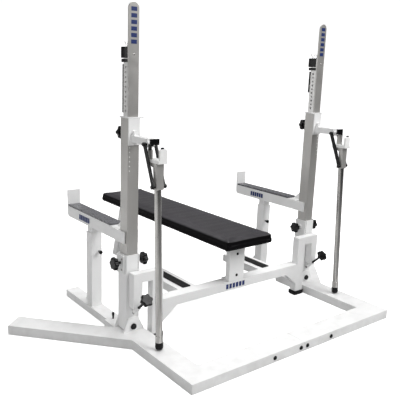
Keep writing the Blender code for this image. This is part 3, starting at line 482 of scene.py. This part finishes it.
def column_fittings(label):
    """Rubber strip, top plug with its ring and hook, blue bars and screw of one lifting column."""
    body = f"column_{label}"
    low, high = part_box(f"inner_column_{label}")
    x, front, back = middle(f"inner_column_{label}").x, low.y, high.y
    bottom = STRIP_BOTTOM[label]
    strip = block((x - 0.019, back + 0.0006, bottom), (x + 0.019, back + 0.0125, STRIP_TOP), 0.0015)
    add(f"column_strip_{label}", strip, LOOKS["black_rubber"], body)
    bottom, top = PLUG_Z
    plug = block((x - 0.0225, front + 0.006, bottom), (x + 0.0225, back + 0.020, top), 0.003, 3)
    add(f"column_plug_{label}", plug, LOOKS["black_plastic"], body)
    ring = [(x, back - 0.006 + y, top + 0.0095 + z) for y, z in circle(RING_R, RING_POINTS)]
    hook = [(x, back + y, top + z) for y, z in HOOK]
    bottom, top = BAND_Z
    band = block((x - 0.0228, front + 0.004, bottom), (x + 0.0228, back + 0.016, top), 0.003, 3)
    add(f"column_band_{label}", band, LOOKS["black_plastic"], body)
    add(f"column_ring_{label}", rod(ring, 0.0014, True), LOOKS["chrome"], body)
    add(f"column_hook_{label}", rod(hook, 0.0016), LOOKS["chrome"], body)
    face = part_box(f"guard_plate_{label}")[0].y
    for number in range(BARS):
        z = GUARD_BARS_Z + GUARD_BAR_PITCH * number
        corners = (x - GUARD_BAR_HALF, face - 0.0006, z), (x + GUARD_BAR_HALF, face + 0.0004, z + GUARD_BAR_H)
        add(f"guard_bar_{number}_{label}", block(*corners, 0.0), BLUE, body, False)
    screw = dome_head((x, face, GUARD_SCREW_Z), (0, -1, 0), 0.0048, 0.0022)
    add(f"guard_screw_{label}", screw, LOOKS["chrome"], body)


UPRIGHT_Y = middle("pivot_bolt_left").y
SCALE_MARKS = 8
SCALE_TOP = 0.920
SCALE_PITCH = 0.020
SCALE_IN = 0.0185
SCALE_DOT = ((0, 0.0029), (0.0012, 0.0026))
SLEEVE_FACE_Y = UPRIGHT_Y - 0.036
SLIT_BOTTOM = 0.336
CLAMP_SCREWS_Z = (0.336, 0.386)
SLEEVE_SCREW_Z = 0.326


def upright_fittings(side, label):
    """Scale marks beside the index holes, the clamp slit as a thin black strip of painted shade, and the
    sleeve's screws.
    """
    x = middle(f"upright_tube_{label}").x
    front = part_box(f"upright_tube_{label}")[0].y
    for number in range(SCALE_MARKS):
        at = (x + side * SCALE_IN, front + 0.0008, SCALE_TOP - SCALE_PITCH * number)
        add(f"scale_mark_{number}_{label}", lathe(at, (0, -1, 0), SCALE_DOT, 14), MARK, "base")
    # Painted shade: a thin black strip stands for the shadow inside the clamp slit.
    slit = x - side * 0.026
    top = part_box(f"tilt_sleeve_{label}")[1].z - 0.0005
    low = (slit - 0.0006, SLEEVE_FACE_Y - 0.0002, SLIT_BOTTOM)
    high = (slit + 0.0008, SLEEVE_FACE_Y + 0.002, top)
    add(f"clamp_slit_shade_{label}", block(low, high, 0.0), LOOKS["black_rubber"], "base", False)
    for number, z in enumerate(CLAMP_SCREWS_Z):
        screw = dome_head((x + side * 0.043, UPRIGHT_Y - 0.011, z), (side, 0, 0), 0.0050, 0.0030)
        add(f"clamp_screw_{number}_{label}", screw, LOOKS["brushed_steel"], "base")
    screw = dome_head((x - side * 0.0265, SLEEVE_FACE_Y, SLEEVE_SCREW_Z), (0, -1, 0), 0.0030, 0.0016)
    add(f"sleeve_screw_{label}", screw, LOOKS["black_steel"], "base")


STOP_SCREWS_Z = (0.535, 0.572)


def safety_fittings(label):
    """Printed bars and end-stop screws of one safety arm."""
    body = f"safety_arm_{label}"
    low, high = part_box(body)
    plain_bars(f"arm_bar_{label}", body, (low.x, high.y - 0.145, 0.4815), (0, -0.0185, 0), 0.0068, (-1, 0, 0))
    for number, z in enumerate(STOP_SCREWS_Z):
        screw = dome_head((middle(body).x, high.y, z), (0, 1, 0), 0.0060, 0.0032)
        add(f"stop_screw_{number}_{label}", screw, LOOKS["brushed_steel"], body)


LIP_TIP_IN = 0.020
LIP_TIP_HALF = 0.007


def saddle_fittings(side, label):
    """Black tip on the saddle's front lip."""
    low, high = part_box(f"bar_saddle_{label}")
    x = (low.x if side > 0 else high.x) + side * LIP_TIP_IN
    near = (x - LIP_TIP_HALF, low.y + 0.001, high.z - 0.001)
    far = (x + LIP_TIP_HALF, low.y + 0.009, high.z + 0.0055)
    add(f"lip_tip_{label}", block(near, far, 0.002), LOOKS["black_plastic"], f"lever_{label}")


BENCH_FACE_Y = UPRIGHT_Y - 0.084
BENCH_BOLTS_Z = (0.212, 0.323)


def bench_fittings():
    """Bolts of the bench post and the bars printed on the cross tube."""
    plain_bars("cross_bar", "base", (-0.058, BENCH_FACE_Y, 0.160), (0.0215, 0, 0), 0.0078, (0, -1, 0))
    for number, z in enumerate(BENCH_BOLTS_Z):
        bolt = dome_head((0, BENCH_FACE_Y, z), (0, -1, 0), 0.0070, 0.0040)
        add(f"bench_bolt_{number}", bolt, LOOKS["black_steel"], "base")


BAR_HALF_H = 0.0125


def plain_bars(name, body, start, step, half, face):
    """Six plain upright bars printed in a level row: step runs along the row, and face is the outward way."""
    start, step, face = Vector(start), Vector(step), Vector(face)
    across = step.normalized() * half
    up = Vector((0, 0, BAR_HALF_H))
    for number in range(BARS):
        centre = start + step * number
        bm = bmesh.new()
        corners = [centre + across * a + up * b for a, b in ((-1, -1), (1, -1), (1, 1), (-1, 1))]
        inner = [bm.verts.new(c - face * 0.0008) for c in corners]
        outer = [bm.verts.new(c + face * 0.0004) for c in corners]
        bm.faces.new(inner)
        bm.faces.new(outer)
        for i in range(4):
            bm.faces.new((inner[i], inner[(i + 1) % 4], outer[(i + 1) % 4], outer[i]))
        add(f"{name}_{number}", bm, BLUE, body, False)


# ---------------------------------------------------------------- upholstery

PAD_INSET = 0.0030
PAD_SUNK = 0.0050
PAD_EDGE = 0.009
VOXEL = 0.006
STAPLED = 0.014
SWELL_CAP = 0.0060
SWELL_FRAMES = 20
PRESSURE = 4.0
SPARE = 0.001


def cushion():
    """The bench pad as vinyl wrapped round its board: a small box swells, and its underside stays flat."""
    low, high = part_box("bench_pad")
    low.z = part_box("bench_board")[0].z
    inset = Vector((PAD_INSET, PAD_INSET, 0))
    mesh = bpy.data.meshes.new("bench_cushion")
    bm = block(low + inset + Vector((0, 0, 0.0004)), high - inset - Vector((0, 0, PAD_SUNK)), PAD_EDGE, 4)
    bm.to_mesh(mesh)
    bm.free()
    pad = bpy.data.objects.new("bench_cushion", mesh)
    bpy.context.scene.collection.objects.link(pad)
    remesh = pad.modifiers.new("remesh", "REMESH")
    remesh.mode = "VOXEL"
    remesh.voxel_size = VOXEL
    bake(pad)
    shape = positions(pad.data)
    shape = swell(pad, shape, low.z + STAPLED)
    bottom, top = np.array(low) - (SPARE, SPARE, 0), np.array(high) + (SPARE, SPARE, 1.2 * SPARE)
    shape = pull_in(np.clip(shape, bottom, top), low, high)
    pad.data.vertices.foreach_set("co", shape.ravel())
    pad.data.update()
    ease = pad.modifiers.new("ease", "SMOOTH")
    ease.factor = 0.5
    ease.iterations = 3
    finer = pad.modifiers.new("finer", "SUBSURF")
    finer.levels = 1
    finer.render_levels = 1
    bake(pad)
    pad.data.materials.clear()
    pad.data.materials.append(LOOKS["pad_vinyl"])
    pad.data.shade_smooth()
    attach(pad, "base")
    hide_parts("bench_pad", "bench_board")


def swell(pad, rest, hold_below):
    """Inflates the cover by cloth simulation, held below a height, and caps how far each point moves."""
    group = pad.vertex_groups.new(name="hold")
    group.add([int(i) for i in np.nonzero(rest[:, 2] < hold_below)[0]], 1.0, "REPLACE")
    cloth = pad.modifiers.new("cloth", "CLOTH")
    cloth.settings.use_pressure = True
    cloth.settings.uniform_pressure_force = PRESSURE
    cloth.settings.effector_weights.gravity = 0.0
    cloth.settings.vertex_group_mass = "hold"
    cloth.settings.quality = 4
    cloth.point_cache.frame_start = 1
    cloth.point_cache.frame_end = SWELL_FRAMES
    for step in range(1, SWELL_FRAMES + 1):
        bpy.context.scene.frame_set(step)
    move = positions(evaluated(pad).data) - rest
    pad.modifiers.remove(cloth)
    bpy.context.scene.frame_set(1)
    reach = np.linalg.norm(move, axis=1)
    share = np.minimum(1.0, SWELL_CAP / np.maximum(reach, 1e-9))
    return rest + move * share[:, None]


TUCK = 0.0050
LEVEL_MARGIN = 0.03
RIPPLE = 0.0005


def pull_in(points, low, high):
    """Draws the sides in near the underside, where the vinyl is stapled, and leaves slight ripples on top."""
    centre = (np.array(low) + np.array(high)) / 2
    half = (np.array(high) - np.array(low)) / 2
    drop = np.clip((low.z + STAPLED - points[:, 2]) / STAPLED, 0, 1)
    for axis in (0, 1):
        away = points[:, axis] - centre[axis]
        edge = np.clip((np.abs(away) - half[axis] + STAPLED) / STAPLED, 0, 1)
        points[:, axis] -= np.sign(away) * TUCK * drop * edge
    inward = 1 - np.clip((np.abs(points[:, 0]) - half[0] + LEVEL_MARGIN) / LEVEL_MARGIN, 0, 1)
    ripple = RIPPLE * np.sin(points[:, 1] * 84.0) * np.sin(points[:, 1] * 31.0 + 1.3)
    points[:, 2] += ripple * inward * (points[:, 2] > centre[2])
    return points


def positions(mesh):
    points = np.zeros(len(mesh.vertices) * 3)
    mesh.vertices.foreach_get("co", points)
    return points.reshape(-1, 3)


def evaluated(obj):
    return obj.evaluated_get(bpy.context.evaluated_depsgraph_get())


def bake(obj):
    """Applies every modifier of a piece."""
    bpy.context.view_layer.update()
    mesh = bpy.data.meshes.new_from_object(evaluated(obj))
    obj.modifiers.clear()
    obj.data = mesh


# ---------------------------------------------------------------- studio

SWEEP_NEAR = -9.0
SWEEP_FAR = 7.0
SWEEP_RISE = 7.0
SWEEP_CURVE = 3.0
SWEEP_HALF = 16.0
BELOW_FLOOR = 0.0002


def sweep():
    """A wide sheet of paper that curves up behind the bench, square to the camera."""
    bm = bmesh.new()
    profile = [(SWEEP_NEAR, 0.0)]
    for i in range(17):
        turn = math.pi / 2 * i / 16
        along = SWEEP_FAR - SWEEP_CURVE + SWEEP_CURVE * math.sin(turn)
        profile.append((along, SWEEP_CURVE - SWEEP_CURVE * math.cos(turn)))
    profile.append((SWEEP_FAR, SWEEP_RISE))
    heading = Matrix.Rotation(-CAMERA_YAW, 3, "Z")
    rows = []
    for x in (-SWEEP_HALF, SWEEP_HALF):
        rows.append([bm.verts.new(heading @ Vector((x, y, z - BELOW_FLOOR))) for y, z in profile])
    for i in range(len(profile) - 1):
        bm.faces.new((rows[0][i], rows[1][i], rows[1][i + 1], rows[0][i + 1]))
    mesh = bpy.data.meshes.new("studio_sweep")
    bm.to_mesh(mesh)
    bm.free()
    mesh.shade_smooth()
    mesh.materials.append(paper())
    sheet = bpy.data.objects.new("studio_sweep", mesh)
    bpy.context.scene.collection.objects.link(sheet)


def paper():
    """White to the camera, mid grey as bounced light, and a dark to white slope in what the pieces mirror."""
    look = Look("studio_paper")
    path = look.add("ShaderNodeLightPath")
    plain = look.mix(look.ramp(look.noise(2.0, 3.0), 0.3, 0.7), rgb(0.90, 0.90, 0.90), rgb(0.92, 0.92, 0.92))
    across = look.add("ShaderNodeVectorMath", operation="DOT_PRODUCT")
    look.link(look.place, across.inputs[0])
    across.inputs[1].default_value = (-0.62, 0.78, 0.0)
    slope = look.ramp(across.outputs["Value"], -1.6, 1.8)
    mirrored = look.mix(slope, rgb(0.22, 0.22, 0.22), rgb(1.0, 1.0, 1.0))
    base = look.mix(path.outputs["Is Diffuse Ray"], plain, rgb(0.42, 0.42, 0.42))
    base = look.mix(path.outputs["Is Glossy Ray"], base, mirrored)
    glow = look.math("MULTIPLY", path.outputs["Is Camera Ray"], 0.75)
    return look.finish(base, 0.85, 0.0, Emission_Color=rgb(1, 1, 1), Emission_Strength=glow)


SKY_LOW = 0.018
SKY_HIGH = 0.048


def sky():
    """Soft surroundings, dimmer at the horizon, and white where the camera sees past the sweep."""
    world = bpy.data.worlds.new("studio")
    bpy.context.scene.world = world
    world.use_nodes = True
    tree = world.node_tree
    coordinate = tree.nodes.new("ShaderNodeTexCoord")
    split = tree.nodes.new("ShaderNodeSeparateXYZ")
    height = tree.nodes.new("ShaderNodeMapRange")
    tree.links.new(coordinate.outputs["Generated"], split.inputs[0])
    tree.links.new(split.outputs["Z"], height.inputs["Value"])
    height.inputs["From Min"].default_value = 0.0
    height.inputs["From Max"].default_value = 0.9
    height.inputs["To Min"].default_value = SKY_LOW
    height.inputs["To Max"].default_value = SKY_HIGH
    path = tree.nodes.new("ShaderNodeLightPath")
    seen = tree.nodes.new("ShaderNodeMath")
    seen.operation = "MAXIMUM"
    tree.links.new(path.outputs["Is Camera Ray"], seen.inputs[0])
    tree.links.new(height.outputs["Result"], seen.inputs[1])
    background = tree.nodes["Background"]
    background.inputs["Color"].default_value = rgb(1.0, 1.0, 1.0)
    tree.links.new(seen.outputs[0], background.inputs["Strength"])


def lamp(name, at, target, size, power):
    """A square area lamp that points at a target."""
    data = bpy.data.lights.new(name, "AREA")
    data.shape = "SQUARE"
    data.size = size
    data.energy = power
    made = bpy.data.objects.new(name, data)
    made.location = at
    made.rotation_euler = (Vector(target) - Vector(at)).to_track_quat("-Z", "Y").to_euler()
    bpy.context.scene.collection.objects.link(made)


CAMERA_AT = (-1.8155, -2.3374, 1.2049)
CAMERA_YAW = math.radians(38.2536)
CAMERA_PITCH = math.radians(12.8930)
CAMERA_ROLL = math.radians(2.0924)
CAMERA_LENS = 50.709


def camera():
    """Stands at the front left of the bench, looks down a little, and is rolled by two degrees."""
    data = bpy.data.cameras.new("camera")
    data.sensor_width = 36
    data.lens = CAMERA_LENS
    data.clip_end = 100
    made = bpy.data.objects.new("camera", data)
    heading = Vector((math.sin(CAMERA_YAW), math.cos(CAMERA_YAW), 0))
    ahead = heading * math.cos(CAMERA_PITCH) - Vector((0, 0, math.sin(CAMERA_PITCH)))
    level = Vector((math.cos(CAMERA_YAW), -math.sin(CAMERA_YAW), 0))
    upward = level.cross(ahead)
    right = level * math.cos(CAMERA_ROLL) + upward * math.sin(CAMERA_ROLL)
    top = upward * math.cos(CAMERA_ROLL) - level * math.sin(CAMERA_ROLL)
    turn = Matrix((right, top, -ahead)).transposed().to_4x4()
    made.matrix_world = Matrix.Translation(CAMERA_AT) @ turn
    bpy.context.scene.collection.objects.link(made)
    bpy.context.scene.camera = made


for side, label in SIDES:
    column_fittings(label)
    upright_fittings(side, label)
    safety_fittings(label)
    saddle_fittings(side, label)
bench_fittings()
cushion()
sweep()
sky()
lamp("key", (2.2, -3.6, 4.0), (0, 0.1, 0.3), 3.2, 215)
lamp("side", (-4.4, 3.0, 1.7), (0, 0, 0.6), 3.0, 44)
lamp("front", (-3.6, -3.4, 2.8), (-0.3, 0, 0.3), 2.6, 76)
lamp("top", (0.2, 0.8, 4.6), (0, 0.1, 0), 3.6, 175)
camera()
bpy.context.scene.view_settings.view_transform = "Standard"
